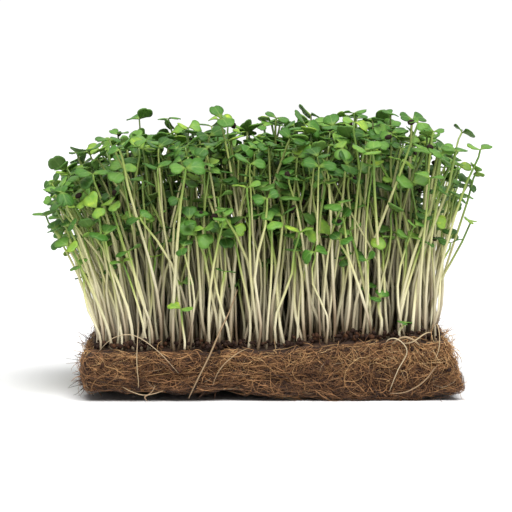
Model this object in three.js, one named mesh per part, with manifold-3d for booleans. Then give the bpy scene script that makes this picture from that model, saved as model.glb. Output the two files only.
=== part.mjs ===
// Living microgreens: brassica seedlings that stand on a slab of coir, as they are sold for cutting.
// Millimetres, +Z up. The origin is the middle of the slab's underside, and the slab's front faces -Y.
import * as THREE from "three";
import { mergeVertices } from "three/addons/utils/BufferGeometryUtils.js";
import Module from "manifold-3d";

const wasm = await Module();
wasm.setup();

// Driving dimensions
const SLAB = {
  width: 144,
  depth: 100,
  height: 20,
  rise: 3.4, // the right half is thicker by this much
  riseFrom: -8,
  riseTo: 38,
  slant: 5, // the right end leans in by this much from its foot to its top
  corner: 7,
  columns: 60,
  ragged: 1.1,
  lifted: 3.8, // the left of the underside curls up off the table along its front edge
};
// Rings of the slab's skin from the underside to the top: size of the outline, inset from it, shares of height and lift
const SLAB_RINGS = [
  { size: 0.8, inset: 0, up: 0, lift: 0 },
  { size: 1, inset: 4.2, up: 0.02, lift: 1 },
  { size: 1, inset: 1.2, up: 0.15, lift: 0.8 },
  { size: 1, inset: 0, up: 0.4, lift: 0.3 },
  { size: 1, inset: 0.5, up: 0.64, lift: 0 },
  { size: 1, inset: 2.2, up: 0.86, lift: 0 },
  { size: 1, inset: 4.2, up: 0.96, lift: 0 },
  { size: 1, inset: 6.4, up: 1, lift: 0 },
  { size: 0.5, inset: 0, up: 1, lift: 0 },
];
const TUFT = {
  rows: 5,
  perLongRow: 7,
  stems: 8,
  rootRadius: 8.6,
  rootDepth: 6,
  crown: 1.3, // height of the tangle of roots and spent hulls above the slab
  rootSides: 8,
  endEdge: 3.6, // slab left between the outermost root tangles and its ends
  sideEdge: 6, // the same at the front and back
  pocketGap: 0.45,
  stemSpread: 7.3,
};
const STEM = { baseRadius: 0.8, tipRadius: 0.62, sunk: 2.5, bendAt: 0.45 };
const GROWTH = {
  tallest: 82,
  shortBy: 0.5, // share of its height that the shortest seedling lacks
  leftShorter: 0.36,
  rightShorter: 0.1,
  frontShorter: 0.2,
  leanLeft: 0.34,
  leanRight: 0.06,
  strayRight: 0.27, // a few on the right lean out further than the rest
  strays: 0.12,
  leanFront: 0.2,
  leanRandom: 0.17,
  leanCurve: 1.6, // stems bend outwards more and more on their way up
  sway: 2.4,
};
// One seed leaf is heart-shaped, seen from the stem: direction and reach of the points of its edge
const LEAF = {
  notch: { turn: 0, reach: 6.1 },
  lobeTip: { turn: 23, reach: 7.4 },
  lobeSide: { turn: 43, reach: 5.6 },
  waist: { turn: 90, reach: 0.85 },
  crotch: 0.35,
  throat: 1.5,
  smaller: 0.86, // the second leaf of each pair
};
const GAP = 0.25; // free space kept between any two seedlings
const SEED = 7202;

const EDGE_POINTS = 12;

// A repeatable stream of numbers from 0 to 1
function stream(seed) {
  let state = seed;
  return () => {
    state = (state * 48271) % 2147483647;
    return state / 2147483647;
  };
}

// Ramps from 0 to 1 as value goes from one end to the other
function ramp(value, from, to) {
  const share = Math.min(1, Math.max(0, (value - from) / (to - from)));
  return share * share * (3 - 2 * share);
}

// Height of the slab's top above the table
const topOf = (x) => SLAB.height + SLAB.rise * ramp(x, SLAB.riseFrom, SLAB.riseTo);

// A geometry as a closed solid, with its shared corners merged and its collapsed triangles dropped
function solid(geometry) {
  const bare = new THREE.BufferGeometry();
  bare.setAttribute("position", geometry.getAttribute("position"));
  bare.setIndex(geometry.index);
  const merged = mergeVertices(bare, 1e-4);
  const corners = merged.index.array;
  const kept = [];
  for (let i = 0; i < corners.length; i += 3) {
    const [a, b, c] = corners.slice(i, i + 3);
    if (a !== b && b !== c && c !== a) kept.push(a, b, c);
  }
  return new wasm.Manifold(
    new wasm.Mesh({
      numProp: 3,
      vertProperties: merged.getAttribute("position").array,
      triVerts: new Uint32Array(kept),
    }),
  );
}

function meshOf(manifold, name, material) {
  const made = manifold.getMesh();
  const geometry = new THREE.BufferGeometry();
  geometry.setAttribute("position", new THREE.BufferAttribute(made.vertProperties, 3));
  geometry.setIndex(new THREE.BufferAttribute(made.triVerts, 1));
  geometry.computeVertexNormals();
  const mesh = new THREE.Mesh(geometry, material);
  mesh.name = name;
  return mesh;
}

// A closed tube of rings whose every corner is placed by place(ring, column, point): ring 0 is the lowest, and the two
// ends close on points of their own, given as ring -1 and as the number of rings
function ringed(columns, rings, place) {
  const geometry = new THREE.CylinderGeometry(1, 1, 1, columns, rings - 1).rotateX(Math.PI / 2);
  const spots = geometry.getAttribute("position");
  const point = new THREE.Vector3();
  for (let i = 0; i < spots.count; i++) {
    point.fromBufferAttribute(spots, i);
    const onAxis = Math.hypot(point.x, point.y) < 0.5;
    const high = point.z + 0.5;
    const ring = onAxis ? (high < 0.5 ? -1 : rings) : Math.round(high * (rings - 1));
    const turn = Math.atan2(point.y, point.x) / (2 * Math.PI);
    const column = (Math.round(turn * columns) + columns) % columns;
    place(ring, onAxis ? 0 : column, point);
    spots.setXYZ(i, point.x, point.y, point.z);
  }
  return solid(geometry);
}

// Evenly spaced points round the slab's outline, with the outward direction at each
function slabOutline() {
  const x = SLAB.width / 2;
  const y = SLAB.depth / 2;
  const r = SLAB.corner;
  const outline = new THREE.Shape()
    .moveTo(x, 0)
    .lineTo(x, y - r)
    .absarc(x - r, y - r, r, 0, Math.PI / 2)
    .lineTo(-x + r, y)
    .absarc(-x + r, y - r, r, Math.PI / 2, Math.PI)
    .lineTo(-x, -y + r)
    .absarc(-x + r, -y + r, r, Math.PI, 1.5 * Math.PI)
    .lineTo(x - r, -y)
    .absarc(x - r, -y + r, r, 1.5 * Math.PI, 2 * Math.PI)
    .lineTo(x, 0);
  const points = outline.getSpacedPoints(SLAB.columns).slice(0, SLAB.columns);
  return points.map((at, i) => {
    const before = points[(i + SLAB.columns - 1) % SLAB.columns];
    const after = points[(i + 1) % SLAB.columns];
    const along = after.clone().sub(before).normalize();
    return { at, out: new THREE.Vector2(along.y, -along.x) };
  });
}

// How far the underside is curled up off the table, most at the front left
const liftAt = (x, y) => SLAB.lifted * ramp(x, 42, -20) * ramp(y, 0, -0.46 * SLAB.depth);

// The slab without its pockets: a ragged block with a worn rim that rests on a flat spot
function slabBlock() {
  const outline = slabOutline();
  return ringed(SLAB.columns, SLAB_RINGS.length, (ring, column, point) => {
    if (ring < 0) return point.set(0, 0, 0);
    if (ring === SLAB_RINGS.length) return point.set(0, 0, topOf(0));
    const { size, inset, up, lift } = SLAB_RINGS[ring];
    const { at, out } = outline[column];
    const clump = 0.6 * Math.sin(2.3 * column + 1.9 * ring) + 0.4 * Math.sin(5.2 * column - 3.1 * ring);
    const slack = ring === 0 ? 0 : SLAB.ragged * clump;
    const x = size * at.x - (inset + slack) * out.x - SLAB.slant * up * ramp(at.x, 40, 66);
    const y = size * at.y - (inset + slack) * out.y;
    return point.set(x, y, up * topOf(x) + lift * liftAt(x, y));
  });
}

// The middle of each tuft, in rows from front to back that are staggered like bricks
function tuftCentres() {
  const reachX = (SLAB.width - SLAB.slant) / 2 - TUFT.endEdge - TUFT.rootRadius;
  const reachY = SLAB.depth / 2 - TUFT.sideEdge - TUFT.rootRadius;
  const pitchX = (2 * reachX) / (TUFT.perLongRow - 1);
  const pitchY = (2 * reachY) / (TUFT.rows - 1);
  const centres = [];
  for (let row = 0; row < TUFT.rows; row++) {
    const count = TUFT.perLongRow - (row % 2);
    for (let i = 0; i < count; i++) {
      centres.push(new THREE.Vector2((i - (count - 1) / 2) * pitchX - SLAB.slant / 2, row * pitchY - reachY));
    }
  }
  return centres;
}

// A tangle of roots, or the pocket that it sits in: wider is added to its radius and deeper to its depth
function rootTangle(centre, wider, deeper, crown) {
  const top = topOf(centre.x);
  const radius = TUFT.rootRadius + wider;
  const profile = [
    new THREE.Vector2(0, -TUFT.rootDepth - deeper),
    new THREE.Vector2(0.9 * radius, -TUFT.rootDepth - deeper),
    new THREE.Vector2(radius, 0),
    new THREE.Vector2(crown > TUFT.crown ? radius : 0.66 * radius, crown),
    new THREE.Vector2(0, crown),
  ];
  const lathe = new THREE.LatheGeometry(profile, TUFT.rootSides)
    .rotateX(Math.PI / 2)
    .translate(centre.x, centre.y, top);
  return solid(lathe);
}

// One seedling's growth, drawn at random: where it stands, how its stem bends and how its pair of leaves is held
function grow(base, draw) {
  const ex = base.x / (SLAB.width / 2);
  const ey = base.y / (SLAB.depth / 2);
  const sideShorter = ex < 0 ? GROWTH.leftShorter : GROWTH.rightShorter;
  const shorter = Math.max(sideShorter * ex ** 4, GROWTH.frontShorter * ey ** 4);
  const short = GROWTH.shortBy * draw() ** (1.5 - 0.8 * Math.max(ex ** 4, ey ** 4));
  const height = GROWTH.tallest * (1 - shorter) * (1 - short);
  const random = () => GROWTH.leanRandom * (draw() + draw() + draw() - 1.5);
  const rightLean = draw() < GROWTH.strays ? GROWTH.strayRight : GROWTH.leanRight;
  const leanSide = ex < 0 ? GROWTH.leanLeft : rightLean;
  const leanX = leanSide * ex * Math.abs(ex) ** 1.5 + random();
  const leanY = GROWTH.leanFront * ey * Math.abs(ey) ** 1.5 + random();
  const swayTurn = 2 * Math.PI * draw();
  const sway = GROWTH.sway * (draw() - 0.3);
  const leafTurn = 2 * Math.PI * draw();
  const tip = new THREE.Vector3(0.6 * leanX + 0.8 * (draw() - 0.5), 0.6 * leanY + 0.8 * (draw() - 0.5), 1);
  const size = 0.84 + 0.32 * draw();
  const held = [0.55 * (draw() - 0.25), 0.55 * (draw() - 0.25)];
  return { base, height, leanX, leanY, swayTurn, sway, leafTurn, tip: tip.normalize(), size, held };
}

// A point on a seedling's stem, from the slab's top at share 0 to the leaves at share 1
function stemPoint(g, share) {
  const bow = g.sway * Math.sin(Math.PI * share);
  const out = g.height * share ** GROWTH.leanCurve;
  return new THREE.Vector3(
    g.base.x + g.leanX * out + bow * Math.cos(g.swayTurn),
    g.base.y + g.leanY * out + bow * Math.sin(g.swayTurn),
    topOf(g.base.x) + g.height * share,
  );
}

// The three directions of a leaf pair: along it, across it and up out of it
function pairFrame(g) {
  const up = g.tip;
  const along = new THREE.Vector3(Math.cos(g.leafTurn), Math.sin(g.leafTurn), 0);
  along.addScaledVector(up, -along.dot(up)).normalize();
  return { along, across: new THREE.Vector3().crossVectors(up, along), up };
}

// A point of the leaf pair: u along it and v across it, before the leaves are raised and arched
function pairPoint(g, frame, u, v, lifted) {
  const held = g.held[u > 0 ? 0 : 1];
  const size = g.size * (u > 0 ? 1 : LEAF.smaller);
  const reach = Math.abs(u) / LEAF.lobeTip.reach;
  const rise = Math.abs(u) * (held + 0.3 * (1 - reach)) + lifted;
  return stemPoint(g, 1)
    .addScaledVector(frame.along, size * u)
    .addScaledVector(frame.across, size * v)
    .addScaledVector(frame.up, size * rise);
}

// The points round a leaf pair's edge, starting at the notch of the larger leaf
function edgePoint(column) {
  const quarter = [LEAF.notch, LEAF.lobeTip, LEAF.lobeSide, LEAF.waist];
  const step = column % (EDGE_POINTS / 2);
  const { turn, reach } = quarter[step <= 3 ? step : 6 - step];
  const half = column < EDGE_POINTS / 2 ? 0 : 180;
  const angle = THREE.MathUtils.degToRad(half + (step <= 3 ? turn : 180 - turn));
  return new THREE.Vector2(reach * Math.cos(angle), reach * Math.sin(angle));
}

// A seedling in one piece: a three-sided stem whose last ring opens into the edge of the leaf pair
function seedling(g) {
  const frame = pairFrame(g);
  const shares = [0, STEM.bendAt, 1];
  return ringed(EDGE_POINTS, shares.length + 1, (ring, column, point) => {
    if (ring < 0) return point.copy(stemPoint(g, 0)).setZ(topOf(g.base.x) - STEM.sunk);
    if (ring === shares.length + 1) return point.copy(pairPoint(g, frame, 0, 0, LEAF.crotch));
    if (ring === shares.length) {
      const edge = edgePoint(column);
      return point.copy(pairPoint(g, frame, edge.x, edge.y, 0));
    }
    const angle = ((Math.floor(column / 4) * 120 + 45) * Math.PI) / 180;
    const radius = THREE.MathUtils.lerp(STEM.baseRadius, STEM.tipRadius, shares[ring]);
    point.copy(stemPoint(g, shares[ring]));
    if (ring === 0) point.z -= STEM.sunk;
    if (ring === shares.length - 1) point.addScaledVector(frame.up, -LEAF.throat * g.size);
    return point
      .addScaledVector(frame.along, radius * Math.cos(angle))
      .addScaledVector(frame.across, radius * Math.sin(angle));
  });
}

// Balls that cover a seedling's stem and leaves, for keeping seedlings clear of each other
const LEAF_COVER = [
  { u: 1.5, v: 0, count: 1 },
  { u: 3.1, v: 1.7, count: 3 },
  { u: 4.7, v: 2.9, count: 5 },
  { u: 6.2, v: 2.4, count: 4 },
];
const STEM_STEP = 1.2;
const STEM_BALL = 0.95;
const LEAF_BALL = 1.15;

function coverOf(g) {
  const balls = [];
  const steps = Math.ceil(g.height / STEM_STEP);
  for (let i = 0; i <= steps; i++) balls.push([stemPoint(g, i / steps), STEM_BALL]);
  const frame = pairFrame(g);
  for (const side of [1, -1]) {
    for (const { u, v, count } of LEAF_COVER) {
      for (let i = 0; i < count; i++) {
        const across = count === 1 ? 0 : v * ((2 * i) / (count - 1) - 1);
        balls.push([pairPoint(g, frame, side * u, across, -0.1), LEAF_BALL]);
      }
    }
  }
  return balls;
}

// The space that seedlings have taken, as balls sorted into cubes
class TakenSpace {
  cube = 2.6;
  cubes = new Map();

  keyOf(x, y, z) {
    return (x * 4096 + y) * 4096 + z;
  }

  cell(value) {
    return Math.floor(value / this.cube) + 512;
  }

  isFree(balls) {
    return balls.every(([at, radius]) => {
      const [cx, cy, cz] = [this.cell(at.x), this.cell(at.y), this.cell(at.z)];
      for (let x = cx - 1; x <= cx + 1; x++)
        for (let y = cy - 1; y <= cy + 1; y++)
          for (let z = cz - 1; z <= cz + 1; z++)
            for (const [other, otherRadius] of this.cubes.get(this.keyOf(x, y, z)) ?? [])
              if (at.distanceTo(other) < radius + otherRadius + GAP) return false;
      return true;
    });
  }

  take(balls) {
    for (const ball of balls) {
      const key = this.keyOf(this.cell(ball[0].x), this.cell(ball[0].y), this.cell(ball[0].z));
      if (!this.cubes.has(key)) this.cubes.set(key, []);
      this.cubes.get(key).push(ball);
    }
  }
}

// Where the stems of a tuft stand: an even spiral in the root tangle
function stemBase(centre, index, turn) {
  const radius = TUFT.stemSpread * Math.sqrt((index + 0.5) / TUFT.stems);
  const angle = turn + 2.39996 * index;
  return new THREE.Vector2(centre.x + radius * Math.cos(angle), centre.y + radius * Math.sin(angle));
}

// All seedlings, tuft by tuft: each is drawn again until it is clear of those before it
function plantTufts(centres) {
  const draw = stream(SEED);
  const space = new TakenSpace();
  const tries = 400;
  return centres.map((centre) => {
    const turn = 2 * Math.PI * draw();
    const grown = [];
    for (let index = 0; index < TUFT.stems; index++) {
      const base = stemBase(centre, index, turn);
      for (let attempt = 0; attempt < tries; attempt++) {
        const g = grow(base, draw);
        const cover = coverOf(g);
        if (!space.isFree(cover)) continue;
        space.take(cover);
        grown.push(g);
        break;
      }
    }
    return grown;
  });
}

const coir = new THREE.MeshStandardMaterial({ color: 0x7d5836, roughness: 0.95, metalness: 0 });
const green = new THREE.MeshStandardMaterial({ color: 0x5f9140, roughness: 0.55, metalness: 0 });

const microgreens = new THREE.Group();
const centres = tuftCentres();
const tufts = plantTufts(centres);

const pockets = centres.map((centre) => rootTangle(centre, TUFT.pocketGap, TUFT.pocketGap, 3 * TUFT.crown));
const slab = pockets.reduce((left, pocket) => left.subtract(pocket), slabBlock());
microgreens.add(meshOf(slab, "coir_slab", coir));

tufts.forEach((grown, i) => {
  const roots = rootTangle(centres[i], 0, 0, TUFT.crown);
  const tuft = grown.reduce((joined, g) => joined.add(seedling(g)), roots);
  microgreens.add(meshOf(tuft, `tuft_${String(i + 1).padStart(2, "0")}`, green));
});

export default microgreens;
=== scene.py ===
"""Living microgreens on a slab of coir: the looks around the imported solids.

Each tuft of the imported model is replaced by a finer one, with the same seedlings and more between
them, and the slab by a fibrous one of the same form. Lengths are worked out in millimetres and put
in the meshes in metres.
"""

import math
import random

import bmesh
import bpy
import numpy as np
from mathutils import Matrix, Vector, noise


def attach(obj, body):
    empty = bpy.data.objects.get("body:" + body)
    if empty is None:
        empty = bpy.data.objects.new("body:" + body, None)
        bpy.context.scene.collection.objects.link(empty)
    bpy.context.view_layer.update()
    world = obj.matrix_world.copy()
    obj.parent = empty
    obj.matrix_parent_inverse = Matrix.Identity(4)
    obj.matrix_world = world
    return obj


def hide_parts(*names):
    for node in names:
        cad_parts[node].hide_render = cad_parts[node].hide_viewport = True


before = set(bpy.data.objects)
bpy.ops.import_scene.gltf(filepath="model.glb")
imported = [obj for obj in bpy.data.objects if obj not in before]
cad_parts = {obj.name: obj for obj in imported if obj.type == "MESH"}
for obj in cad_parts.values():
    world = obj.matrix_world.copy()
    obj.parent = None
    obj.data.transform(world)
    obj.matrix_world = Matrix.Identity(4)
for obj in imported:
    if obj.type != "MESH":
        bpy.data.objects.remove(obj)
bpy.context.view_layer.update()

MM = 0.001

# The slab and the growth of its seedlings, as in the part's source
SLAB = {"width": 144, "depth": 100, "height": 20, "rise": 3.4, "rise_from": -8, "rise_to": 38}
SLANT, LIFTED = 5, 3.8
TUFT = {
    "rows": 5,
    "per_long_row": 7,
    "stems": 8,
    "root_radius": 8.6,
    "end_edge": 3.6,
    "side_edge": 6,
    "spread": 7.3,
}
GROWTH = {
    "tallest": 82,
    "short_by": 0.5,
    "left_shorter": 0.36,
    "right_shorter": 0.1,
    "front_shorter": 0.2,
}
LEAN = {
    "left": 0.34,
    "right": 0.06,
    "stray_right": 0.27,
    "front": 0.2,
    "random": 0.17,
    "curve": 1.6,
}
STRAYS = 0.12  # the share that leans far out at the right end
SWAY = 2.4  # how far a stem bows
LEAF_REACH = 7.4
SMALLER_LEAF = 0.86
GAP = 0.25  # the least room between two seedlings
SEED = 7202
TRIES = 400
# Rows of balls that cover a leaf: how far along it, half of the row's width, and how many
LEAF_COVER = [(1.5, 0, 1), (3.1, 1.7, 3), (4.7, 2.9, 5), (6.2, 2.4, 4)]
STEM_STEP, STEM_BALL, LEAF_BALL = 1.2, 0.95, 1.15
GOLDEN_ANGLE = 2.39996


def stream(seed):
    """A repeatable stream of numbers from 0 to 1, the same as the part's."""
    state = seed
    while True:
        state = state * 48271 % 2147483647
        yield state / 2147483647


def ramp(value, start, end):
    """Goes smoothly from 0 to 1 as value goes from start to end."""
    share = np.clip((value - start) / (end - start), 0, 1)
    return share * share * (3 - 2 * share)


def top_of(x):
    """Height of the slab's top above the table."""
    return SLAB["height"] + SLAB["rise"] * ramp(x, SLAB["rise_from"], SLAB["rise_to"])


def lift_at(x, y):
    """How far the underside is curled up off the table, most at the front left."""
    return LIFTED * ramp(x, 42, -20) * ramp(y, 0, -0.46 * SLAB["depth"])


def tuft_centres():
    """The middle of each tuft, in rows from front to back that are staggered like bricks."""
    reach_x = (SLAB["width"] - SLANT) / 2 - TUFT["end_edge"] - TUFT["root_radius"]
    reach_y = SLAB["depth"] / 2 - TUFT["side_edge"] - TUFT["root_radius"]
    pitch_x = 2 * reach_x / (TUFT["per_long_row"] - 1)
    pitch_y = 2 * reach_y / (TUFT["rows"] - 1)
    centres = []
    for row in range(TUFT["rows"]):
        count = TUFT["per_long_row"] - row % 2
        for i in range(count):
            centres.append(((i - (count - 1) / 2) * pitch_x - SLANT / 2, row * pitch_y - reach_y))
    return centres


class Seedling:
    """One seedling: where it stands, how its stem bends and how its pair of leaves is held."""

    def __init__(self, x, y, draw):
        self.base = np.array([x, y])
        ex, ey = x / (SLAB["width"] / 2), y / (SLAB["depth"] / 2)
        side_shorter = GROWTH["left_shorter"] if ex < 0 else GROWTH["right_shorter"]
        shorter = max(side_shorter * ex**4, GROWTH["front_shorter"] * ey**4)
        short = GROWTH["short_by"] * draw() ** (1.5 - 0.8 * max(ex**4, ey**4))
        self.height = GROWTH["tallest"] * (1 - shorter) * (1 - short)
        right_lean = LEAN["stray_right"] if draw() < STRAYS else LEAN["right"]
        lean_side = LEAN["left"] if ex < 0 else right_lean
        lean_x = lean_side * ex * abs(ex) ** 1.5
        lean_x += LEAN["random"] * (draw() + draw() + draw() - 1.5)
        lean_y = LEAN["front"] * ey * abs(ey) ** 1.5
        lean_y += LEAN["random"] * (draw() + draw() + draw() - 1.5)
        self.lean = np.array([lean_x, lean_y])
        self.sway_turn = 2 * math.pi * draw()
        self.sway = SWAY * (draw() - 0.3)
        leaf_turn = 2 * math.pi * draw()
        tip_x = 0.6 * lean_x + 0.8 * (draw() - 0.5)
        tip_y = 0.6 * lean_y + 0.8 * (draw() - 0.5)
        self.point_leaves(leaf_turn, tip_x, tip_y)
        self.size = 0.84 + 0.32 * draw()
        self.held = [0.55 * (draw() - 0.25), 0.55 * (draw() - 0.25)]
        self.tilt = 0.5

    def point_leaves(self, turn, tip_x, tip_y):
        """Sets the three directions of the leaf pair: along it, across it and up out of it."""
        up = np.array([tip_x, tip_y, 1.0])
        self.up = up / np.linalg.norm(up)
        along = np.array([math.cos(turn), math.sin(turn), 0.0])
        along -= self.up * along.dot(self.up)
        self.along = along / np.linalg.norm(along)
        self.across = np.cross(self.up, self.along)

    def stem(self, shares):
        """Points on the stem, from the slab's top at share 0 to the leaves at share 1."""
        shares = np.asarray(shares, float)
        bow = self.sway * np.sin(math.pi * shares)
        out = self.height * np.maximum(shares, 0) ** LEAN["curve"]
        x = self.base[0] + self.lean[0] * out + bow * math.cos(self.sway_turn)
        y = self.base[1] + self.lean[1] * out + bow * math.sin(self.sway_turn)
        return np.stack([x, y, top_of(self.base[0]) + self.height * shares], axis=-1)

    def cover(self):
        """Balls that cover the stem and the leaves: their middles and radii."""
        steps = math.ceil(self.height / STEM_STEP)
        middles = [self.stem(np.arange(steps + 1) / steps)]
        for side in (1, -1):
            size = self.size * (1 if side > 0 else SMALLER_LEAF)
            held = self.held[0 if side > 0 else 1]
            for u, v, count in LEAF_COVER:
                across = np.zeros(1) if count == 1 else v * (2 * np.arange(count) / (count - 1) - 1)
                rise = u * (held + 0.3 * (1 - u / LEAF_REACH)) - 0.1
                row = self.stem(1) + size * (side * u * self.along + rise * self.up)
                middles.append(row + size * across[:, None] * self.across)
        radii = np.full(sum(len(m) for m in middles), LEAF_BALL)
        radii[: steps + 1] = STEM_BALL
        return np.concatenate(middles), radii


class TakenSpace:
    """The space that seedlings have taken."""

    def __init__(self):
        self.middles, self.radii = np.zeros((0, 3)), np.zeros(0)

    def is_free(self, middles, radii):
        """Whether balls with these middles and radii keep clear of all those taken."""
        reach = 2 * LEAF_BALL + GAP
        low, high = middles.min(axis=0) - reach, middles.max(axis=0) + reach
        near = ((self.middles > low) & (self.middles < high)).all(axis=1)
        if not near.any():
            return True
        apart = np.linalg.norm(middles[:, None] - self.middles[near][None], axis=2)
        return bool((apart >= radii[:, None] + self.radii[near][None] + GAP).all())

    def take(self, middles, radii):
        """Adds the balls of one more seedling."""
        self.middles = np.concatenate([self.middles, middles])
        self.radii = np.concatenate([self.radii, radii])


def plant_tufts(centres):
    """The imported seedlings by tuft. Each is drawn again until it is clear of those before it."""
    draw = stream(SEED).__next__
    space = TakenSpace()
    tufts = []
    for x, y in centres:
        turn = 2 * math.pi * draw()
        grown = []
        for index in range(TUFT["stems"]):
            radius = TUFT["spread"] * math.sqrt((index + 0.5) / TUFT["stems"])
            angle = turn + GOLDEN_ANGLE * index
            for _attempt in range(TRIES):
                place = x + radius * math.cos(angle), y + radius * math.sin(angle)
                seedling = Seedling(*place, draw)
                cover = seedling.cover()
                if space.is_free(*cover):
                    space.take(*cover)
                    grown.append(seedling)
                    break
        tufts.append(grown)
    return tufts


# How far out the tips of the loose seedlings go, and where the stand starts to get lower towards
# its two ends, by a millimetre for each millimetre further out
STAND = {"left": -83, "right": 76, "falls_from_left": -54, "falls_from_right": 52, "tallest": 88}

# The share of the loose seedlings that stay small, and of those that stand out over the others
SMALL, EMERGENT = 0.05, 0.035

# Heights: where most leaves end, how far single ones go past it, and those that stand out
CANOPY, PAST_CANOPY, STANDING_OUT = 75, 7, (82, 87)
OUTER_ROWS = 14


class LooseSeedling(Seedling):
    """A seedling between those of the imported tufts. Its stem and leaves are held more freely."""

    def __init__(self, x, y, rng, height=None, out_to=None):
        super().__init__(x, y, rng.random)
        small = height is not None or rng.random() < SMALL
        if small:
            self.height = height or self.height * rng.uniform(0.25, 0.6)
        else:
            taller = rng.uniform(0.92, 1.08) + 0.22 * min(x / (SLAB["width"] / 2), 0) ** 4
            if abs(y) > SLAB["depth"] / 2 - OUTER_ROWS:
                taller -= 0.34 * rng.random() ** 1.5
            highest = CANOPY + min(rng.expovariate(0.4), PAST_CANOPY)
            self.height = min(self.height * taller, highest)
            if rng.random() < EMERGENT:
                self.height = rng.uniform(*STANDING_OUT)
        self.sway = rng.gauss(0, 3.2) * self.height / 80
        self.lean = self.lean + np.array([rng.gauss(0, 0.12), rng.gauss(0, 0.07)])
        if out_to is None:
            self.stay_in_stand()
        else:
            self.lean = np.array([(out_to - x) / self.height, rng.gauss(0, 0.1)])
        nod, way = rng.uniform(0, 0.42), rng.uniform(0, 2 * math.pi)
        tip_x = 0.6 * self.lean[0] + nod * math.cos(way)
        tip_y = 0.6 * self.lean[1] + nod * math.sin(way)
        self.point_leaves(rng.uniform(0, 2 * math.pi), tip_x, tip_y)
        self.size = rng.uniform(0.7, 1.04) * (0.8 if small else 1)
        self.tilt = 1.0

    def stay_in_stand(self):
        """Keeps the tip from leaning out of the stand, and lower the further out it is."""
        tip = self.base[0] + self.lean[0] * self.height
        kept = min(max(tip, STAND["left"]), STAND["right"])
        self.lean[0] = (kept - self.base[0]) / self.height
        over = max(STAND["falls_from_left"] - kept, kept - STAND["falls_from_right"], 0)
        self.height = min(self.height, STAND["tallest"] - over)


LOOSE_SEEDLINGS = 1040
BARE_RIM = 6.5
STEM_GAP = 1.8


def sow_between(tufts, count, rng):
    """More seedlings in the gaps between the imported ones, fewer near the slab's front and back."""
    stems = [s.base for grown in tufts for s in grown]
    sown = [LooseSeedling(x, y, rng, height) for x, y, height in LATE]
    sown += [LooseSeedling(x, y, rng, height, out_to) for x, y, height, out_to in OUTLYING]
    stems += [s.base for s in sown]
    for _attempt in range(count * 60):
        if len(sown) == count:
            break
        x = rng.uniform(-1, 1) * (SLAB["width"] / 2 - BARE_RIM) - SLANT / 2
        y = rng.uniform(-1, 1) * (SLAB["depth"] / 2 - BARE_RIM)
        place = np.array([x, y])
        edge = SLAB["depth"] / 2 - abs(y)
        if rng.random() > 0.3 + 0.7 * ramp(edge, 5, 16):
            continue
        if min(np.abs(np.array(stems) - place).max(axis=1)) < STEM_GAP:
            continue
        stems.append(place)
        sown.append(LooseSeedling(x, y, rng))
    return sown


# Late seedlings that show low at the front: place and height
LATE = [
    (-34, -45, 15),
    (-21, -41, 29),
    (-59, -40, 38),
    (34, -43, 30),
    (48, -46, 6),
    (-47, -38, 34),
    (12, -42, 40),
]

# Seedlings that lean out at the two ends: place, height and how far out the tip is
OUTLYING = [
    (62, -20, 63, 79),
    (61, -34, 44, 76),
    (60, -8, 52, 72),
    (61, -41, 36, 68),
    (60, 8, 58, 75),
    (-66, -25, 62, -85),
    (-67, -38, 55, -84),
    (-65, -41, 46, -78),
    (-66, -12, 66, -80),
    (-66, -43, 31, -74),
]

# Meshes

LEAF_MIDDLE, LEAF_HALF_LENGTH, LEAF_HALF_WIDTH = 3.9, 2.8, 3.55
LOBES, NOTCH, NOTCH_ANGLE = 1.06, 0.3, 0.3
PETIOLE = 1.1


def heart_blade():
    """One flat seed leaf on its petiole, along +X, with a shallow notch at its tip."""
    bm = bmesh.new()
    bmesh.ops.create_grid(bm, x_segments=4, y_segments=4, size=1)
    for vert in bm.verts:
        x, y, _z = vert.co
        x, y = x * math.sqrt(1 - y * y / 2), y * math.sqrt(1 - x * x / 2)
        notch = NOTCH * math.hypot(x, y) * math.exp(-((math.atan2(y, x) / NOTCH_ANGLE) ** 2))
        stalk = min(max((-x - 0.6) / 0.4, 0), 1)
        lobe = LOBES - notch if x > 0 else 1
        u = LEAF_MIDDLE + LEAF_HALF_LENGTH * x * lobe - PETIOLE * stalk * stalk
        vert.co = (u, LEAF_HALF_WIDTH * y * (1 - 0.75 * stalk), 0.25)
    bmesh.ops.recalc_face_normals(bm, faces=bm.faces)
    if bm.faces[:][0].normal.z < 0:
        bmesh.ops.reverse_faces(bm, faces=bm.faces)
    bmesh.ops.solidify(bm, geom=bm.faces[:], thickness=0.5)
    bmesh.ops.recalc_face_normals(bm, faces=bm.faces)
    return bm


def hull_shell():
    """One spent seed hull: a dark egg-shaped grain."""
    bm = bmesh.new()
    bmesh.ops.create_uvsphere(bm, u_segments=6, v_segments=4, radius=1)
    bmesh.ops.scale(bm, verts=bm.verts, vec=(1.25, 0.95, 0.75))
    return bm


def coordinates(mesh):
    """The corners of a mesh, as an array of points."""
    spots = np.zeros(len(mesh.vertices) * 3)
    mesh.vertices.foreach_get("co", spots)
    return spots.reshape(-1, 3)


def stamp_of(bm, material_index=0):
    """A small mesh to be placed many times."""
    for face in bm.faces:
        face.material_index = material_index
        face.smooth = True
    mesh = bpy.data.meshes.new("stamp")
    bm.to_mesh(mesh)
    bm.free()
    return mesh


def stamped(stamp, spots):
    """Copies of a small mesh with their corners at spots, an array of copies by corners by 3."""
    holder = bpy.data.objects.new("copies", stamp)
    bpy.context.scene.collection.objects.link(holder)
    copies = holder.modifiers.new("copies", "ARRAY")
    copies.use_relative_offset = False
    copies.count = len(spots)
    shown = holder.evaluated_get(bpy.context.evaluated_depsgraph_get())
    mesh = bpy.data.meshes.new_from_object(shown)
    bpy.data.objects.remove(holder)
    mesh.vertices.foreach_set("co", (spots * MM).ravel())
    mesh.update()
    return mesh


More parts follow.
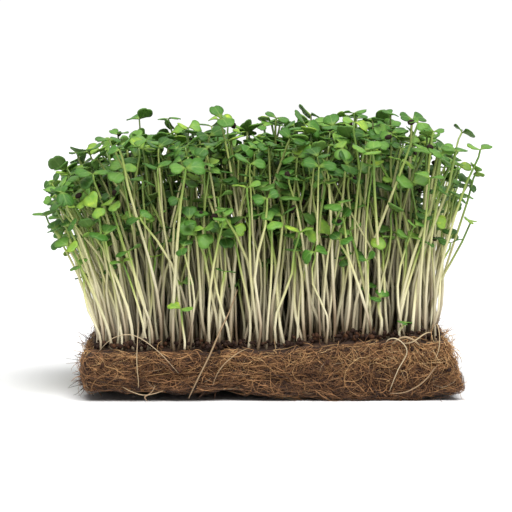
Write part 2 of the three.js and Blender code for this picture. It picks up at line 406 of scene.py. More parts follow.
def straight_tube(rings, corners):
    """A closed tube round Z with a ring at each whole height from 0."""
    bm = bmesh.new()
    height = rings - 1
    bmesh.ops.create_cone(bm, cap_ends=True, segments=corners, radius1=1, radius2=1, depth=height)
    bmesh.ops.translate(bm, verts=bm.verts, vec=(0, 0, height / 2))
    upright = [edge for edge in bm.edges if abs(edge.verts[0].co.z - edge.verts[1].co.z) > 0.5]
    bmesh.ops.subdivide_edges(bm, edges=upright, cuts=rings - 2, use_grid_fill=True)
    bmesh.ops.recalc_face_normals(bm, faces=bm.faces)
    return bm


def tubes(lines, radii, corners):
    """Closed tubes along lines, an array of tubes by points by 3, with the radius at each point."""
    stamp = stamp_of(straight_tube(lines.shape[1], corners))
    flat = coordinates(stamp)
    ring = np.round(flat[:, 2]).astype(int)
    along = np.gradient(lines, axis=1)
    along /= np.linalg.norm(along, axis=2, keepdims=True)
    chord = lines[:, -1] - lines[:, 0]
    least = np.eye(3)[np.abs(chord).argmin(axis=1)]
    first = np.cross(along, least[:, None])
    first /= np.linalg.norm(first, axis=2, keepdims=True)
    second = np.cross(along, first)
    spread = flat[:, 0, None] * first[:, ring] + flat[:, 1, None] * second[:, ring]
    return stamped(stamp, lines[:, ring] + radii[:, ring, None] * spread), ring


def put_values(mesh, name, values):
    """A value at each corner, for the material to read."""
    layer = mesh.attributes.new(name, "FLOAT", "POINT")
    layer.data.foreach_set("value", np.asarray(values, np.float32).ravel())


def add_piece(name, mesh, finishes, replaced=()):
    """Puts a finished mesh in the scene as a piece of the object."""
    mesh.name = name
    for finish in finishes:
        mesh.materials.append(finish)
    for polygon in mesh.polygons:
        polygon.use_smooth = True
    piece = bpy.data.objects.new(name, mesh)
    bpy.context.scene.collection.objects.link(piece)
    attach(piece, "root")
    if replaced:
        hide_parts(*replaced)


# Seedlings

STEM_SHARES = np.array([-0.05, 0.0, 0.07, 0.16, 0.29, 0.46, 0.64, 0.82, 0.96])
STEM_CORNERS = 5
CLINGING = 0.05  # the share of the leaves that a spent hull clings to


def stem_line(seedling, rng):
    """The stem's middle line: it wanders on its way up and bends over towards its leaves."""
    line = seedling.stem(STEM_SHARES)
    shares = np.clip(STEM_SHARES, 0, 1)
    room = shares * (1 - shares) * 4
    free = seedling.tilt * min(seedling.height / 45, 1)
    foot = rng.gauss(0, 1.5) * free * np.clip(1 - shares / 0.3, 0, 1) ** 2
    foot_way = rng.uniform(0, 2 * math.pi)
    line[:, 0] += foot * math.cos(foot_way)
    line[:, 1] += foot * math.sin(foot_way)
    for waves in (1, 2):
        wide = rng.gauss(0, 2.1 / waves) * free
        way = rng.uniform(0, 2 * math.pi)
        swing = wide * room * np.sin(waves * math.pi * shares + rng.uniform(0, math.pi))
        line[:, 0] += swing * math.cos(way)
        line[:, 1] += swing * math.sin(way)
    tip = seedling.stem(1)
    neck = min(6.0, 0.3 * seedling.height)
    line[-1] = 0.5 * (line[-1] + tip - neck * 0.5 * seedling.up)
    return np.vstack([line, tip - 0.05 * seedling.up])


def turn_outwards(seedling, rng):
    """Turns the leaf pair towards the light outside the stand, more so near its edges."""
    ex, ey = seedling.base / (SLAB["width"] / 2, SLAB["depth"] / 2)
    tip = seedling.up / seedling.up[2]
    tip_x = tip[0] + 0.35 * ex * abs(ex) + rng.gauss(0, 0.12) * seedling.tilt
    tip_y = tip[1] + 0.6 * ey * abs(ey) + rng.gauss(0, 0.12) * seedling.tilt
    seedling.point_leaves(math.atan2(seedling.along[1], seedling.along[0]), tip_x, tip_y)


def blade_corners(seedling, flat, side, rng):
    """The corners of one leaf of the pair, held and cupped as this seedling holds it."""
    size = seedling.size * (1 if side == 0 else SMALLER_LEAF)
    held = seedling.held[side]
    u, v, w = flat.T
    out = u / LEAF_REACH
    petiole = rng.uniform(0.7, 1.0 + 0.5 * seedling.tilt)
    u = np.where(u < PETIOLE, u * petiole, u - PETIOLE + PETIOLE * petiole)
    cup = rng.uniform(-0.06, 0.06)
    arch = 0.3 * (1 - out)
    lift = u * (held + arch) + cup * v * v + w
    droop = seedling.tilt * rng.gauss(-0.12, 0.28)
    roll = seedling.tilt * rng.gauss(0, 0.24)
    bent = np.maximum(u - PETIOLE * petiole, 0)
    along = u - bent * (1 - math.cos(droop))
    lift = lift + bent * math.sin(droop)
    across = v * math.cos(roll * 0.9)
    lift = lift + v * math.sin(roll) * np.clip(u / 3, 0, 1)
    yaw = 1 if side == 0 else -1
    turn = rng.gauss(0, 0.16) * seedling.tilt
    flat_along = along * math.cos(turn) - across * math.sin(turn)
    flat_across = along * math.sin(turn) + across * math.cos(turn)
    middle = seedling.stem(1)
    return middle + size * (
        np.outer(flat_along, yaw * seedling.along)
        + np.outer(flat_across, yaw * seedling.across)
        + np.outer(lift, seedling.up)
    )


def turned(spots, rng):
    """Points turned about the origin in a random direction."""
    turn = np.linalg.qr(np.array([[rng.gauss(0, 1) for _ in range(3)] for _ in range(3)]))[0]
    if np.linalg.det(turn) < 0:
        turn[:, 0] *= -1
    return spots @ turn.T


def joined(parts):
    """One mesh of several, each given with the values at its corners."""
    bm = bmesh.new()
    for mesh, _values in parts:
        bm.from_mesh(mesh)
    whole = bpy.data.meshes.new("whole")
    bm.to_mesh(whole)
    bm.free()
    for name in parts[0][1]:
        put_values(whole, name, np.concatenate([values[name].ravel() for _mesh, values in parts]))
    return whole


def inside(seedling):
    """How deep a seedling stands in the stand: 0 in its outermost rows, 1 in its middle."""
    edge = min(SLAB["width"] / 2 - abs(seedling.base[0]), SLAB["depth"] / 2 - abs(seedling.base[1]))
    return float(ramp(edge, 6, 22))


def tuft_mesh(seedlings, rng):
    """The stems, leaves and clinging hulls of one tuft, in one mesh."""
    for seedling in seedlings:
        turn_outwards(seedling, rng)
    shares = np.append(STEM_SHARES, 1.0)
    lines = np.stack([stem_line(s, rng) for s in seedlings])
    tones = np.array([rng.random() for _ in seedlings])
    thickness = np.array([rng.uniform(0.75, 1.15) for _ in seedlings])
    profile = 0.62 - 0.18 * np.clip(shares, 0, 1) ** 1.5
    stems, ring = tubes(lines, thickness[:, None] * profile, STEM_CORNERS)
    blank = np.zeros((len(seedlings), len(ring)))
    # How deep each stem stands, for the painted shade of stems in the middle of the stand
    depth = np.array([inside(s) for s in seedlings])
    values = {
        "tone": blank + tones[:, None],
        "reach": blank + shares[ring],
        "shade": blank + depth[:, None],
        "across": blank,
        "side": blank,
    }
    parts = [(stems, values)]

    blades, leaf_tones, shades, hulls = [], [], [], []
    for seedling, tone in zip(seedlings, tones):
        for side in (0, 1):
            corners = blade_corners(seedling, BLADE_FLAT, side, rng)
            blades.append(corners)
            leaf_tones.append(min(max(tone + rng.gauss(0, 0.12), 0), 1))
            # Painted shade for leaves deep in the stand, more on shorter seedlings
            shades.append(inside(seedling) * float(ramp(-seedling.height, -84, -52)))
            if rng.random() < CLINGING:
                place = corners[rng.randrange(len(corners))]
                hulls.append(place + turned(HULL_FLAT * rng.uniform(1.0, 1.5), rng))
    blank = np.zeros((len(blades), len(BLADE_FLAT)))
    values = {
        "tone": blank + np.array(leaf_tones)[:, None],
        "reach": blank + BLADE_FLAT[:, 0] / LEAF_REACH,
        "shade": blank + np.array(shades)[:, None],
        "across": blank + BLADE_FLAT[:, 1] / LEAF_HALF_WIDTH,
        "side": blank + np.sign(BLADE_FLAT[:, 2]),
    }
    parts.append((stamped(BLADE, np.array(blades)), values))
    if hulls:
        blank = np.zeros((len(hulls), len(HULL_FLAT)))
        values = {name: blank for name in values}
        parts.append((stamped(HULL, np.array(hulls)), values))
    return joined(parts)


# The slab, worked out as a straight block and then settled into its real form

HALF = np.array([SLAB["width"] / 2, SLAB["depth"] / 2, SLAB["height"] / 2])
ROUNDING = 3.4
BODY_CUTS = 54
SLUMP = 2.0  # how far the front rim has worn down
CORNER_LIFTED = 2.6  # the front right corner is a little off the table


def settle(spots):
    """Moves points of the straight block, whose middle is the origin, to where they end up."""
    x, y = spots[:, 0], spots[:, 1]
    share = (spots[:, 2] + HALF[2]) / (2 * HALF[2])
    lift = lift_at(x, y) + CORNER_LIFTED * ramp(x, 44, 70) * ramp(-y, 10, HALF[1])
    lift *= np.clip(1 - 1.6 * share, 0, 1)
    worn = 0.65 + 0.35 * np.sin(0.13 * x + 1.1) * np.sin(0.31 * x)
    slump = SLUMP * worn * ramp(-y, HALF[1] - 11, HALF[1]) * np.clip(share, 0, 1)
    slanted = x - SLANT * np.clip(share, 0, 1) * ramp(x, 40, 66)
    return np.column_stack([slanted, y, np.maximum(share * top_of(x) + lift - slump, 0.02)])


def lumps(spot):
    """How far the slab's skin swells or sinks at a point, from clumps of fibres."""
    slowed = Vector((spot[0] * 0.05, spot[1] * 0.07, spot[2] * 0.12))
    return 1.7 * noise.fractal(slowed, 1, 2, 3)


def onto_skin(spots, above):
    """Points moved straight to the rounded skin of the block, and then above it by that much."""
    inner = HALF - ROUNDING
    core = np.clip(spots, -inner, inner)
    out = spots - core
    length = np.linalg.norm(out, axis=1, keepdims=True)
    buried = length[:, 0] < 1e-6
    if buried.any():
        gap = HALF - np.abs(spots[buried])
        face = gap.argmin(axis=1)
        out[buried, face] = np.sign(spots[buried, face])
        length = np.linalg.norm(out, axis=1, keepdims=True)
    normal = out / length
    return core + normal * (ROUNDING + above)[:, None], normal


def slab_body():
    """The felted body of the slab."""
    bm = bmesh.new()
    bmesh.ops.create_cube(bm, size=2)
    bmesh.ops.subdivide_edges(bm, edges=bm.edges, cuts=BODY_CUTS, use_grid_fill=True)
    mesh = bpy.data.meshes.new("slab")
    bm.to_mesh(mesh)
    bm.free()
    block = coordinates(mesh) * HALF
    skin, _normal = onto_skin(block, np.zeros(len(block)))
    dents = [noise.noise(Vector((p[0] * 0.35, p[1] * 0.5, p[2] * 0.9))) for p in skin]
    swell = np.array([lumps(p) for p in skin]) + 0.5 * np.array(dents)
    swell = np.where(skin[:, 2] < -HALF[2] + 0.3, -0.3, swell - 0.5)
    spots, _normal = onto_skin(block, swell)
    mesh.vertices.foreach_set("co", (settle(spots) * MM).ravel())
    mesh.update()
    return mesh


FIBRE_CORNERS = 3
LONG_STRANDS, LOOSE_HAIRS, ROOTLETS = 700, 1800, 120

# The faces of the block: the axis across each, its direction, and the fibres on it
FACES = {
    "front": (1, -1, 6300),
    "back": (1, 1, 2900),
    "left": (0, -1, 1900),
    "right": (0, 1, 1900),
    "top": (2, 1, 1800),
    "underside": (2, -1, 300),
}


def wander(start, heading, depth, length, bend, points, rng):
    """Lines over the block's skin. heading gives the two axes of a face and the angle in it."""
    flat, angle = heading
    count = len(start)
    step = (length / (points - 1))[:, None]
    spots, line = start, []
    for _point in range(points):
        skin, _normal = onto_skin(spots, depth)
        line.append(skin)
        way = np.zeros((count, 3))
        way[:, flat[0]] = np.cos(angle)
        way[:, flat[1]] = np.sin(angle)
        spots = skin + way * step
        angle = angle + bend * step[:, 0] + rng.normal(0, 0.3, count)
        depth = depth + rng.normal(0, 0.12, count)
    lines = np.stack(line, axis=1).reshape(-1, 3)
    swell = np.array([lumps(p) for p in lines])
    normal = onto_skin(lines, np.zeros(len(lines)))[1]
    settled = settle(lines + normal * swell[:, None])
    settled[:, 2] = np.maximum(settled[:, 2], 0.15)
    return settled.reshape(count, points, 3)


def fibre_lines(axis, way, count, rng):
    """Fibres felted into one face of the slab, mostly along it."""
    start = rng.uniform(-1, 1, (count, 3)) * (HALF + 0.5)
    start[:, axis] = way * HALF[axis]
    depth = rng.uniform(-1.0, 0.4, count) + (rng.random(count) < 0.25) * rng.uniform(0, 1.8, count)
    length = 2.5 + rng.gamma(2, 2.1, count)
    flat = [a for a in range(3) if a != axis]
    angle = rng.normal(0, 0.4, count) + (rng.random(count) < 0.45) * rng.uniform(-1.6, 1.6, count)
    return wander(start, (flat, angle), depth, length, rng.normal(0, 0.16, count), 5, rng)


def strand_lines(count, rng):
    """Long single strands that lie over the others on the slab's four sides."""
    parts = []
    for axis, way, share in ((1, -1, 0.4), (1, 1, 0.26), (0, -1, 0.17), (0, 1, 0.17)):
        chosen = int(count * share)
        start = rng.uniform(-1, 1, (chosen, 3)) * HALF
        start[:, axis] = way * HALF[axis]
        depth, length = rng.uniform(0.2, 1.2, chosen), rng.uniform(9, 26, chosen)
        angle = rng.normal(0, 0.5, chosen) + math.pi * (rng.random(chosen) < 0.5)
        bend = rng.normal(0, 0.09, chosen)
        parts.append(wander(start, ([1 - axis, 2], angle), depth, length, bend, 11, rng))
    return np.concatenate(parts)


def stray_lines(count, rng):
    """Loose hairs that stand out of the slab in curls, most of them at its ends and rims."""
    start = rng.uniform(-1, 1, (count, 3)) * (HALF + 2)
    axis = rng.choice([0, 1, 2], count, p=[0.3, 0.45, 0.25])
    way = rng.choice([-1, 1], count)
    start[np.arange(count), axis] = way * HALF[axis]
    start[(axis == 2) & (way < 0), 2] *= -1
    # Some stand out of the frayed upper rim at the right, and some of the torn left end
    frayed = rng.random(count) < 0.25
    start[frayed] = (HALF[0], 0, HALF[2]) + rng.normal(0, 1, (frayed.sum(), 3)) * (6, 30, 3.5)
    torn = rng.random(count) < 0.2
    start[torn] = (-HALF[0], 0, 0) + rng.normal(0, 1, (torn.sum(), 3)) * (2, 30, 5)
    skin, normal = onto_skin(start, np.zeros(count))
    heading = normal + rng.normal(0, 0.8, (count, 3))
    heading[:, 2] = heading[:, 2] * 0.8 - 0.1
    heading /= np.linalg.norm(heading, axis=1, keepdims=True)
    aside = np.cross(heading, rng.normal(0, 1, (count, 3)))
    aside /= np.linalg.norm(aside, axis=1, keepdims=True)
    length = (np.minimum(rng.gamma(2.0, 1.6, count), 7) * np.where(torn | frayed, 1.35, 1))[:, None]
    curl = rng.normal(0, 1.3, count)[:, None]
    line = []
    for share in np.linspace(0, 1, 6):
        turn = curl * share
        ahead = share * np.sinc(turn / math.pi)
        beside = share * np.sinc(turn / math.pi / 2) * np.sin(turn / 2)
        line.append(skin - 0.6 * normal + length * (heading * ahead + aside * beside))
    lines = np.stack(line, axis=1)
    settled = settle(lines.reshape(-1, 3))
    settled[:, 2] = np.maximum(settled[:, 2], 0.12)
    return settled.reshape(lines.shape)


def root_lines(count, rng):
    """Pale rootlets that have grown out of the slab's sides and run down them."""
    axis = rng.choice([0, 1], count, p=[0.3, 0.7])
    way = rng.choice([-1, 1], count)
    parts = []
    for a in (0, 1):
        for w in (-1, 1):
            chosen = int(((axis == a) & (way == w)).sum())
            start = rng.uniform(-1, 1, (chosen, 3)) * HALF
            start[:, a] = w * HALF[a]
            flat = [1 - a, 2]
            angle = -math.pi / 2 + rng.normal(0, 0.9, chosen)
            depth, length = rng.uniform(0, 0.9, chosen), rng.uniform(3, 11, chosen)
            bend = rng.normal(0, 0.12, chosen)
            parts.append(wander(start, (flat, angle), depth, length, bend, 7, rng))
    return np.concatenate(parts)


def fibre_mesh(lines, radii, tones):
    """Tapering fibres along lines, each with a tone of its own for the material."""
    taper = 0.35 + 0.65 * np.sin(np.pi * np.linspace(0.05, 0.95, lines.shape[1]))
    mesh, ring = tubes(lines, radii[:, None] * taper, FIBRE_CORNERS)
    put_values(mesh, "tone", np.repeat(tones, len(ring)))
    return mesh


def smooth_line(points, steps=4):
    """A smooth line through points, with that many steps between each two."""
    points = np.asarray(points, float)
    ends = np.vstack([2 * points[0] - points[1], points, 2 * points[-1] - points[-2]])
    line = []
    for before, start, end, after in zip(ends, ends[1:], ends[2:], ends[3:]):
        for t in np.arange(steps) / steps:
            square = 2 * before - 5 * start + 4 * end - after
            cube = 3 * start - before - 3 * end + after
            line.append(0.5 * (2 * start + (end - before) * t + square * t**2 + cube * t**3))
    return np.array(line + [points[-1]])


# Shoots that have fallen over the front rim: points in millimetres, and the thickness
FALLEN = [
    (
        [(-67.8, -46, 17.5), (-62.1, -50, 23.5), (-56.4, -52, 25.6),
         (-50.7, -53, 24.4), (-43, -53, 18.5), (-36.4, -51.5, 11)],
        0.2,
    ),
    (
        [(-14, -44, 42), (-17, -47, 34), (-20.5, -50, 27),
         (-24.5, -52.5, 18), (-29, -53, 9), (-32.5, -51, 1.5)],
        0.46,
    ),
    (
        [(-51.5, -46, 30), (-51.8, -49.5, 23), (-52, -52.4, 17),
         (-51.8, -52.6, 12), (-51.4, -52.2, 8), (-51.6, -51, 4)],
        0.26,
    ),
    (
        [(41.5, -47, 19), (43, -50.5, 23.5), (47, -52, 23.4),
         (50, -52.5, 19), (46.5, -52.6, 12), (43.5, -51, 4)],
        0.26,
    ),
    (
        [(43.6, -51, 3), (49, -52.6, 3.6), (54, -53, 6),
         (57.5, -53, 9), (60, -52, 12), (62, -50.5, 14)],
        0.3,
    ),
    (
        [(-45, -50, 7), (-46, -52, 4.5), (-47.5, -53.4, 3.2),
         (-49, -53.6, 2.2), (-48.5, -53.2, 1.2), (-48, -53, 0.5)],
        0.28,
    ),
    (
        [(-58, -50, 6), (-55, -52.2, 4.6), (-51, -53.2, 3.2),
         (-48, -53.4, 3), (-45, -53, 3.6), (-42, -51.6, 4.4)],
        0.2,
    ),
    (
        [(44, -49, 21), (46.5, -51.2, 23.6), (49, -52, 24.6),
         (51.5, -52.2, 24), (53.5, -51.8, 22.6), (55, -50, 21)],
        0.5,
    ),
    (
        [(48, -49, 22), (50.5, -51.4, 22.2), (53, -52.2, 23.2),
         (55.5, -52.2, 25), (57.5, -51.2, 26), (59.5, -49, 26)],
        0.34,
    ),
    (
        [(60, -44, 27), (61.5, -47.5, 29), (62.2, -50, 27),
         (62.4, -51.6, 23), (61.8, -52, 19), (60.6, -51.2, 16)],
        0.26,
    ),
    (
        [(-9, -46, 20), (-13, -50.5, 19), (-18, -52, 15.5),
         (-21, -52.3, 12), (-22.5, -52.2, 9), (-23.5, -51, 6)],
        0.24,
    ),
]


# Grains strewn over the slab's top, clumps of hulls on it, and hulls in each clump
GRAINS, CLUMPS, IN_CLUMP = 1300, 34, 9

# Clumps that show near the slab's rim: X and Y
NEAR_RIM = [
    (-66, -38),
    (-58, -44),
    (-50, -46),
    (-22, -46),
    (8, -46.5),
    (36, -46),
    (52, -46),
    (-68, -20),
]

# Spent hulls caught in the front face: X and Z
ON_FRONT = [
    (-51.7, 5),
    (-65, 14),
    (-21, 19),
    (52, 20),
    (40, 21),
    (-36, 12),
    (-30, 5.5),
    (20, 15),
    (66, 12),
]


def litter(rng):
    """Spent hulls and crumbs between the stems: in clumps, and strewn over the slab's top."""
    reach = HALF[:2] - 4
    spots = []
    clumps = [[rng.uniform(-1, 1) * half for half in reach] for _clump in range(CLUMPS)]
    for x, y in clumps + NEAR_RIM:
        for _grain in range(IN_CLUMP):
            spots.append((x + rng.gauss(0, 3.2), y + rng.gauss(0, 2.4), 1.1))
    for _grain in range(GRAINS):
        spots.append((rng.uniform(-1, 1) * reach[0], rng.triangular(-1, 1, -1) * reach[1], 0.85))
    grains = []
    for x, y, size in spots:
        x, y = np.clip((x, y), -reach, reach - (SLANT, 0))
        grain = turned(HULL_FLAT * rng.uniform(0.6, 1.1) * size, rng)
        grains.append(grain + (x, y, top_of(x) + min(0.2 + rng.expovariate(1.1), 3)))
    for x, z in ON_FRONT:
        grains.append(turned(HULL_FLAT * 0.95, rng) + (x, -51.2, z))
    return np.array(grains)


# Materials


class Value:
    """A value in a material, which Python's operators combine with numbers and other values."""

    def __init__(self, finish, socket):
        self.finish, self.socket = finish, socket

    def _math(self, operation, first, second):
        """The value that a math node makes of two others."""
        return self.finish.node("Math", {"operation": operation}, {0: first, 1: second})

    def __add__(self, other):
        return self._math("ADD", self, other)

    def __sub__(self, other):
        return self._math("SUBTRACT", self, other)

    def __rsub__(self, other):
        return self._math("SUBTRACT", other, self)

    def __mul__(self, other):
        return self._math("MULTIPLY", self, other)

    __radd__ = __add__
    __rmul__ = __mul__


class Finish:
    """A material, or the sky, that is being put together."""

    def __init__(self, owner):
        owner.use_nodes = True
        self.owner, self.tree = owner, owner.node_tree
        self.tree.nodes.clear()

    def node(self, kind, settings=None, sockets=None, out=0):
        """Adds a node with its settings and its sockets' values, and gives one of its outputs."""
        made = self.tree.nodes.new("ShaderNode" + kind)
        for name, value in (settings or {}).items():
            if name == "stops":
                self._set_stops(made.color_ramp, value)
            else:
                setattr(made, name, value)
        for name, value in (sockets or {}).items():
            if isinstance(value, Value):
                self.tree.links.new(value.socket, made.inputs[name])
            else:
                made.inputs[name].default_value = value
        return None if out is None else Value(self, made.outputs[out])

    @staticmethod
    def _set_stops(color_ramp, stops):
        """Puts the colours of a ramp in their places."""
        for place, color in stops[2:]:
            color_ramp.elements.new(place)
        for element, (place, color) in zip(color_ramp.elements, stops):
            element.position = place
            element.color = color

    def attribute(self, name):
        """A value that the mesh carries at its corners."""
        return self.node("Attribute", {"attribute_name": name}, out="Fac")

    def place(self):
        """The piece's own coordinates, in metres."""
        return self.node("TexCoord", out="Object")

    def ramp(self, factor, *stops):
        """The colour at factor between stops, each a place from 0 to 1 and its colour."""
        return self.node("ValToRGB", {"stops": stops}, {"Fac": factor})

    def mix(self, factor, first, second):
        """The first colour turned into the second by as much as factor says."""
        return self.node("Mix", {"data_type": "RGBA"}, {0: factor, 6: first, 7: second}, out=2)

    def clamp(self, value):
        """The value kept between 0 and 1."""
        return self.node("Clamp", None, {"Value": value, "Min": 0.0, "Max": 1.0})

    def speckle(self, scale, detail=2.0, stretch=(1, 1, 1), roughness=0.5):
        """Noise over the piece's own coordinates, scale grains a metre, slowed by stretch."""
        moved = self.node("Mapping", None, {"Vector": self.place(), "Scale": stretch})
        sockets = {"Vector": moved, "Scale": scale, "Detail": detail, "Roughness": roughness}
        return self.node("TexNoise", None, sockets)

    def drift(self, axis, between, values):
        """Goes from the first value to the second between two places along an axis, in metres."""
        along = self.node("SeparateXYZ", None, {"Vector": self.place()}, out=axis)
        sockets = {"Value": along, "From Min": between[0], "From Max": between[1]}
        return self.node("MapRange", None, sockets | {"To Min": values[0], "To Max": values[1]})

    def surface(self, **sockets):
        """Ends the material with a surface that has these values, and gives the material."""
        values = {name.replace("_", " "): value for name, value in sockets.items()}
        shader = self.node("BsdfPrincipled", None, values, out="BSDF")
        self.node("OutputMaterial", None, {"Surface": shader}, out=None)
        return self.owner


def paint(red, green, blue):
    """A colour given as a paint chart does, from 0 to 255, in the linear values of a shader."""

    def linear(level):
        level /= 255
        return level / 12.92 if level <= 0.04045 else ((level + 0.055) / 1.055) ** 2.4

    return (linear(red), linear(green), linear(blue), 1.0)


def stem_skin():
    """Blanched cream near the foot, yellow-green under the leaves, with faint streaks and painted
    shade deep in the stand.
    """
    f = Finish(bpy.data.materials.new("stem_skin"))
    tone, reach = f.attribute("tone"), f.attribute("reach")
    streak = f.speckle(900, 2, (1, 1, 0.06))
    level = reach + (tone - 0.5) * 0.3 + (streak - 0.5) * 0.12
    # The very foot is darker brown: partly soil stain, partly painted shade among the crowded feet
    color = f.ramp(
        f.clamp(level),
        (0.0, paint(122, 102, 78)),
        (0.1, paint(190, 175, 146)),
        (0.3, paint(232, 224, 188)),
        (0.66, paint(218, 215, 154)),
        (0.82, paint(164, 182, 92)),
        (1.0, paint(106, 144, 50)),
    )
    streaked_and_shaded = f.mix(f.clamp((streak - 0.62) * 3), color, paint(176, 150, 96))
    # Painted shade: stems deep in the stand darken towards brown, most in their lower half
    streaked_and_shaded = f.mix(f.attribute("shade") * (1 - reach * 0.5) * 0.75, streaked_and_shaded, paint(52, 42, 24))
    bump = f.node("Bump", None, {"Strength": 0.25, "Distance": 0.0002, "Height": streak})
    return f.surface(Base_Color=streaked_and_shaded, Roughness=0.38, Normal=bump)


def seed_leaf():
    """Deep green seed leaves, paler beneath and along the midrib; a few yellow-green. Painted shade
    low in the stand.
    """
    f = Finish(bpy.data.materials.new("seed_leaf"))
    tone, reach, across, side = (f.attribute(n) for n in ("tone", "reach", "across", "side"))
    mottle = f.speckle(420, 3)
    fine = f.speckle(2600, 2)
    level = tone * 0.8 + mottle * 0.45 - 0.12
    color = f.ramp(
        f.clamp(level),
        (0.0, paint(36, 76, 16)),
        (0.4, paint(65, 114, 33)),
        (0.75, paint(106, 152, 60)),
        (0.93, paint(142, 178, 62)),
        (1.0, paint(190, 212, 66)),
    )
    beneath = f.clamp(side * -1.0)
    under = f.mix(0.5, color, paint(112, 146, 74))
    color = f.mix(beneath, color, under)
    off_middle = f.node("Math", {"operation": "ABSOLUTE"}, {0: across})
    rib = f.clamp(1 - off_middle * 9) * f.clamp(1.15 - reach)
    branch = f.node("Math", {"operation": "SINE"}, {0: (reach * 22 - off_middle * 16)})
    side_vein = f.clamp((branch - 0.9) * 7) * 0.3
    vein = f.clamp(rib * 0.55 + side_vein)
    color = f.mix(vein, color, paint(142, 174, 92))
    stalk = f.clamp(1 - reach * 3.4)
    color = f.mix(stalk, color, paint(138, 166, 72))
    # Painted shade: leaves of shorter seedlings deep in the stand darken towards deep green
    color = f.mix(f.attribute("shade") * 0.7, color, paint(30, 54, 14))
    bump = f.node("Bump", None, {"Strength": 0.3, "Distance": 0.0002, "Height": fine * 0.4 + vein})
    rough = 0.46 + mottle * 0.16
    return f.surface(Base_Color=color, Roughness=rough, Normal=bump, Specular_IOR_Level=0.34)


def hull_husk():
    """Dry dark brown seed hulls with a dull shine."""
    f = Finish(bpy.data.materials.new("hull_husk"))
    grain = f.speckle(1800, 3)
    color = f.ramp(
        f.clamp(f.attribute("tone") * 0.6 + grain * 0.5),
        (0.0, paint(24, 14, 10)),
        (0.7, paint(46, 28, 19)),
        (1.0, paint(98, 64, 40)),
    )
    bump = f.node("Bump", None, {"Strength": 0.5, "Distance": 0.0002, "Height": grain})
    return f.surface(Base_Color=color, Roughness=0.75, Normal=bump, Specular_IOR_Level=0.2)


def coir_felt():
    """The felted body: dark between its fibres, in streaks along the slab, as painted shade in the
    crevices.
    """
    f = Finish(bpy.data.materials.new("coir_felt"))
    streak = f.speckle(900, 4, (0.12, 0.5, 1))
    cloud = f.speckle(90, 3)
    level = f.clamp(streak * 1.1 + cloud * 0.4 - 0.35)
    # The near-black lows are painted shade in the crevices between the fibres
    color = f.ramp(
        level,
        (0.0, paint(18, 10, 6)),
        (0.5, paint(56, 35, 22)),
        (1.0, paint(104, 72, 46)),
    )
    bump = f.node("Bump", None, {"Strength": 0.9, "Distance": 0.0008, "Height": streak})
    return f.surface(Base_Color=color, Roughness=0.95, Normal=bump)


def coir_fibre():
    """Single coir fibres, from dark brown to golden, with painted light towards the top, painted
    shade towards the foot, and lighter towards the right end.
    """
    f = Finish(bpy.data.materials.new("coir_fibre"))
    grain = f.speckle(1500, 2, (0.2, 0.2, 1))
    cloud = f.speckle(160, 3)
    # Painted light makes the fibres lighter towards the slab's top, and painted shade darker towards
    # its foot
    lit_top_shaded_foot = f.drift("Z", (0.001, 0.016), (-0.24, 0.1))
    # Lighter towards the right end
    lighter_to_right = f.drift("X", (0.01, 0.07), (0, 0.12))
    level = f.clamp(f.attribute("tone") * 1.05 + grain * 0.25 + cloud * 0.7 + lit_top_shaded_foot + lighter_to_right - 0.74)
    color = f.ramp(
        level,
        (0.0, paint(58, 35, 20)),
        (0.3, paint(122, 82, 50)),
        (0.62, paint(180, 132, 86)),
        (0.85, paint(214, 170, 114)),
        (1.0, paint(236, 202, 148)),
    )
    bump = f.node("Bump", None, {"Strength": 0.4, "Distance": 0.0001, "Height": grain})
    return f.surface(Base_Color=color, Roughness=0.7, Normal=bump)


def root_skin():
    """Fine rootlets: pale straw."""
    f = Finish(bpy.data.materials.new("root_skin"))
    grain = f.speckle(1200, 2)
    color = f.ramp(
        f.clamp(f.attribute("tone") * 0.7 + grain * 0.3),
        (0.0, paint(140, 112, 82)),
        (0.5, paint(184, 160, 124)),
        (1.0, paint(222, 206, 172)),
    )
    bump = f.node("Bump", None, {"Strength": 0.3, "Distance": 0.0001, "Height": grain})
    return f.surface(Base_Color=color, Roughness=0.6, Normal=bump)


# Making the pieces

STEM_SKIN, SEED_LEAF, HULL_HUSK = stem_skin(), seed_leaf(), hull_husk()
COIR_FELT, COIR_FIBRE, ROOT_SKIN = coir_felt(), coir_fibre(), root_skin()
GREENS = [STEM_SKIN, SEED_LEAF, HULL_HUSK]
BLADE, HULL = stamp_of(heart_blade(), 1), stamp_of(hull_shell(), 2)
BLADE_FLAT, HULL_FLAT = coordinates(BLADE), coordinates(HULL)

GREENS_SEED, FIBRE_SEED = 31, 77

rng = random.Random(GREENS_SEED)
centres = tuft_centres()
tufts = plant_tufts(centres)
middles = np.array(centres)
for seedling in sow_between(tufts, LOOSE_SEEDLINGS, rng):
    nearest = int(np.linalg.norm(middles - seedling.base, axis=1).argmin())
    tufts[nearest].append(seedling)
for i, grown in enumerate(tufts):
    name = f"{i + 1:02d}"
    mesh = tuft_mesh(grown, rng)
    add_piece(f"seedlings_{name}", mesh, GREENS, [f"tuft_{name}"])

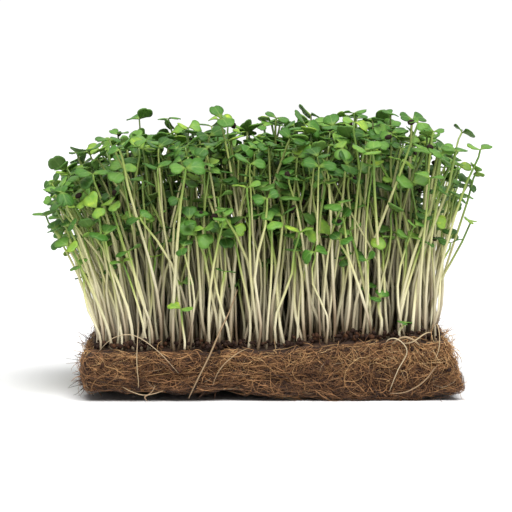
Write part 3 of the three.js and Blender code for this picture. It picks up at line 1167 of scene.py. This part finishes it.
add_piece("slab_body", slab_body(), [COIR_FELT], ["coir_slab"])
fibre_rng = np.random.default_rng(FIBRE_SEED)
for face, (axis, way, count) in FACES.items():
    lines = fibre_lines(axis, way, count, fibre_rng)
    radii = np.minimum(fibre_rng.gamma(5, 0.019, count), 0.22)
    # Top fibres are darker: partly painted shade under the stand of seedlings, partly damp coir and
    # humus
    tones = fibre_rng.random(count) * (0.15 if face == "top" else 1)
    add_piece(f"coir_fibres_{face}", fibre_mesh(lines, radii, tones), [COIR_FIBRE])
strands = strand_lines(LONG_STRANDS, fibre_rng)
radii = fibre_rng.uniform(0.07, 0.13, len(strands))
mesh = fibre_mesh(strands, radii, fibre_rng.uniform(0.3, 1.05, len(strands)))
add_piece("long_strands", mesh, [COIR_FIBRE])
strays = stray_lines(LOOSE_HAIRS, fibre_rng)
radii = fibre_rng.uniform(0.06, 0.14, len(strays))
mesh = fibre_mesh(strays, radii, fibre_rng.uniform(0.1, 1.1, len(strays)))
add_piece("stray_fibres", mesh, [COIR_FIBRE])
roots = root_lines(ROOTLETS, fibre_rng)
radii = fibre_rng.uniform(0.05, 0.11, len(roots))
mesh = fibre_mesh(roots, radii, fibre_rng.random(len(roots)))
add_piece("fine_roots", mesh, [ROOT_SKIN])
fallen = np.array([smooth_line(line) for line, _radius in FALLEN])
radii = np.array([radius for _line, radius in FALLEN])
mesh = fibre_mesh(fallen, radii, fibre_rng.random(len(fallen)))
add_piece("fallen_shoots", mesh, [ROOT_SKIN])
grains = litter(rng)
mesh = stamped(HULL, grains)
mesh.polygons.foreach_set("material_index", np.zeros(len(mesh.polygons), np.int32))
put_values(mesh, "tone", np.repeat([rng.random() for _ in grains], len(HULL_FLAT)))
add_piece("spent_hulls", mesh, [HULL_HUSK])

# The floor, the light and the camera


def white_sheet():
    """A plain white floor under the slab."""
    bm = bmesh.new()
    bmesh.ops.create_grid(bm, x_segments=1, y_segments=1, size=12)
    mesh = bpy.data.meshes.new("floor")
    bm.to_mesh(mesh)
    bm.free()
    floor = bpy.data.objects.new("floor", mesh)
    bpy.context.scene.collection.objects.link(floor)
    f = Finish(bpy.data.materials.new("white_sheet"))
    mesh.materials.append(f.surface(Base_Color=(1, 1, 1, 1), Roughness=0.9))


def white_room(shade):
    """A surround that shows and mirrors white, but lights the object by shade only."""
    world = bpy.data.worlds.new("studio")
    f = Finish(world)
    seen = f.node("LightPath", out="Is Camera Ray") + f.node("LightPath", out="Is Glossy Ray")
    strength = f.clamp(seen) * (1.05 - shade) + shade
    sky = f.node("Background", None, {"Color": (1, 1, 1, 1), "Strength": strength})
    f.node("OutputWorld", None, {"Surface": sky}, out=None)
    bpy.context.scene.world = world


def soft_sun(strength, spread, place):
    """A broad soft light from above: place is a point it shines from, towards the origin."""
    data = bpy.data.lights.new("sun", "SUN")
    data.energy, data.angle = strength, math.radians(spread)
    made = bpy.data.objects.new("sun", data)
    made.rotation_euler = Vector(place).to_track_quat("Z", "Y").to_euler()
    bpy.context.scene.collection.objects.link(made)


white_sheet()
white_room(shade=0.16)
soft_sun(strength=4.25, spread=50, place=(0.12, -0.62, 1))
bpy.context.scene.view_settings.view_transform = "Standard"

# The camera's place in metres, and how many degrees it looks down and to the right
CAMERA_PLACE = (-0.0294, -0.9713, 0.1045)
LOOKS_DOWN, LOOKS_RIGHT = 3.065, 1.39
FOCAL_LENGTH = 172

lens = bpy.data.cameras.new("camera")
lens.lens = FOCAL_LENGTH
lens.clip_start, lens.clip_end = 0.05, 60
camera = bpy.data.objects.new("camera", lens)
camera.location = CAMERA_PLACE
camera.rotation_euler = (math.radians(90 - LOOKS_DOWN), 0, math.radians(-LOOKS_RIGHT))
bpy.context.scene.collection.objects.link(camera)
bpy.context.scene.camera = camera
